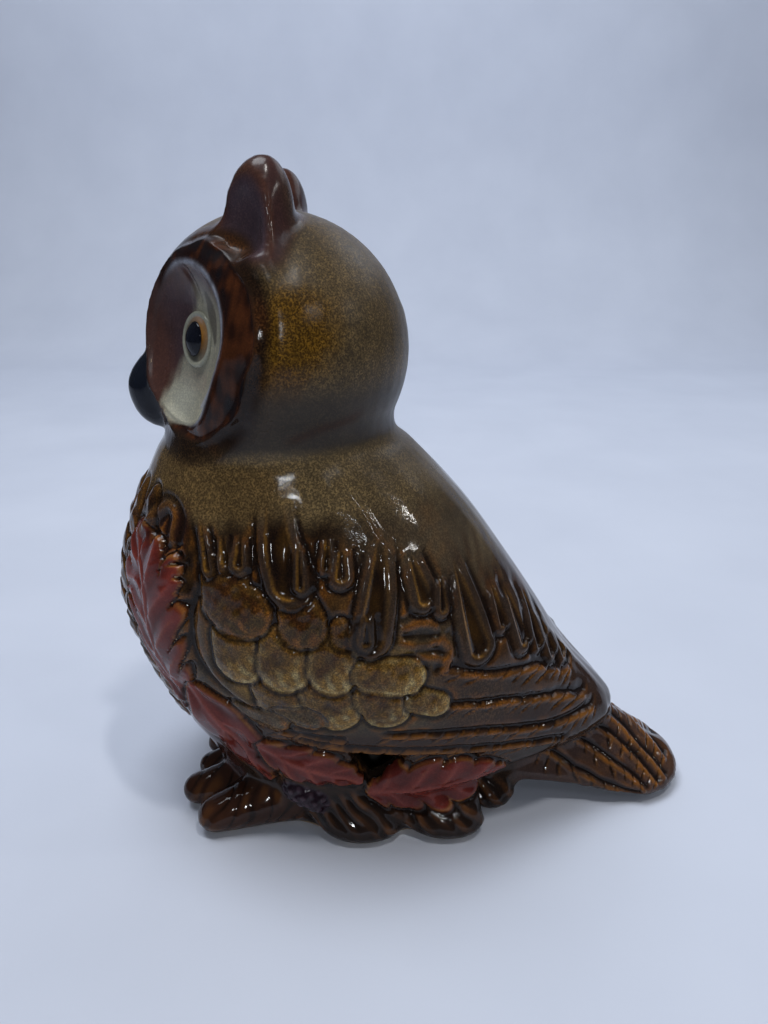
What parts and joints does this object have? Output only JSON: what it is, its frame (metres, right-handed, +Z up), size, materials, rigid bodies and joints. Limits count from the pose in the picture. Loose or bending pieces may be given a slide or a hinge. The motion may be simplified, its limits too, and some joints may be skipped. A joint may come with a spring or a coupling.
{
  "type": "figural animal coin bank",
  "caption": "Hollow glazed earthenware owl money box with leaf sprigs, a coin slot in the head and a rubber stopper in the base.",
  "frame": {"origin": "under the middle of the figure, on the surface it stands on", "axes": "+Z up, the owl faces -Y and its left side is +X"},
  "size_m": [0.1188, 0.2164, 0.23],
  "materials": {
    "olive_glaze": "gloss",
    "brown_glaze": "gloss",
    "dark_glaze": "gloss",
    "red_glaze": "satin",
    "cream_glaze": "gloss",
    "black_glaze": "gloss",
    "bare_clay": "matte",
    "stopper_rubber": "matte"
  },
  "bodies": {
    "figure": {"body_shell": "brown_glaze", "head_shell": "olive_glaze", "base_floor": "bare_clay", "beak": "black_glaze", "tail": "dark_glaze", "ear_left": "dark_glaze", "ear_right": "dark_glaze", "face_disc_left": "cream_glaze", "face_disc_right": "cream_glaze", "eye_ring_left": "cream_glaze", "eye_ring_right": "cream_glaze", "pupil_left": "black_glaze", "pupil_right": "black_glaze", "wing_left": "brown_glaze", "wing_right": "brown_glaze", "foot_left": "dark_glaze", "foot_right": "dark_glaze", "base_lobes_left": "dark_glaze", "base_lobes_right": "dark_glaze", "chest_leaf_left": "red_glaze", "chest_leaf_right": "red_glaze", "lower_leaf_left": "red_glaze", "lower_leaf_right": "red_glaze", "side_leaf_front_left": "red_glaze", "side_leaf_front_right": "red_glaze", "side_leaf_rear_left": "red_glaze", "side_leaf_rear_right": "red_glaze", "acorn_left": "dark_glaze", "acorn_right": "dark_glaze"},
    "stopper_plug": {"stopper": "stopper_rubber"}
  },
  "joints": [
    {"name": "stopper_pull", "type": "slide", "parent": "figure", "child": "stopper_plug", "axis": [0, 0, -1], "range_m": [0, 0.03]}
  ]
}
